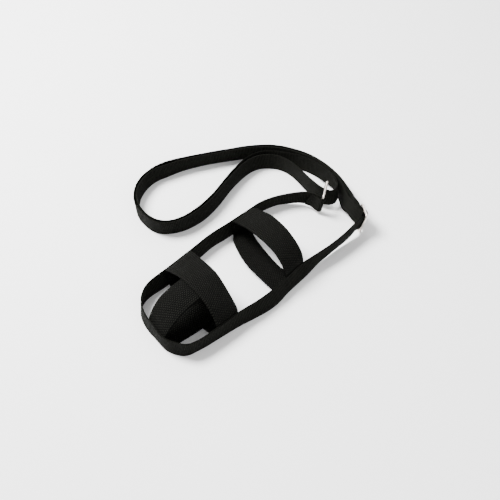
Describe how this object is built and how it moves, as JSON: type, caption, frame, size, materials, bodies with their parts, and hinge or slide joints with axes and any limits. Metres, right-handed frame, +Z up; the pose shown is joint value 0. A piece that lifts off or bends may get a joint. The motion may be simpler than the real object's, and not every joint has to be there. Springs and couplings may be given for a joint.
{
  "type": "webbing carrying sling",
  "caption": "Shoulder sling of flat webbing with a ring, a bar slider and a cradle of side straps, elastic bands and a base band that hold a bottle or flask",
  "frame": {"origin": "centre of the bounding box at floor level, with the sling laid down and its webbing on edge", "axes": "Z up from the floor; X along the cradle from its base strap towards its mouth; Y across the cradle towards the shoulder loop"},
  "size_m": [0.315, 0.2408, 0.039],
  "materials": {
    "webbing": "matte black fine-ribbed flat webbing",
    "elastic": "matte black woven elastic with a fine herringbone rib",
    "thread": "black polyester thread",
    "nickel": "satin nickel-plated round wire"
  },
  "bodies": {
    "webbing": {"outer_feed_run": "webbing", "far_arc_outer_layer": "webbing", "left_bend_outer_layer": "webbing", "near_side_run": "webbing", "ring_turn": "webbing", "return_run": "webbing", "left_bend_inner_layer": "webbing", "far_arc_inner_layer": "webbing", "inner_feed_run": "webbing", "front_feed_run": "webbing", "front_side_strap": "webbing", "base_strap": "webbing", "back_side_strap": "webbing", "ring_fold": "webbing", "upper_band": "elastic", "lower_band": "elastic", "base_band": "elastic", "upper_band_front_stitches": "thread", "upper_band_back_stitches": "thread", "lower_band_front_stitches": "thread", "lower_band_back_stitches": "thread", "base_band_stitches": "thread"},
    "slider": {"slider_frame": "nickel", "slider_centre_bar": "nickel", "sewn_end_loop": "webbing", "threaded_hump": "webbing", "sewn_end_long_ply": "webbing", "sewn_end_turned_ply": "webbing"},
    "ring": {"ring": "nickel"}
  },
  "joints": [
    {"name": "slider_slide", "type": "slide", "parent": "webbing", "child": "slider", "axis": [0.5855, 0.8107, -0.0005], "range_m": [0, 0.025], "deforming": ["outer_feed_run", "inner_feed_run", "front_feed_run"]},
    {"name": "ring_swing", "type": "hinge", "parent": "webbing", "child": "ring", "pos_m": [0.10398, -0.06134, 0.01408], "axis": [0.0855, -0.193, 0.9775], "range_deg": [-8, 4]}
  ]
}
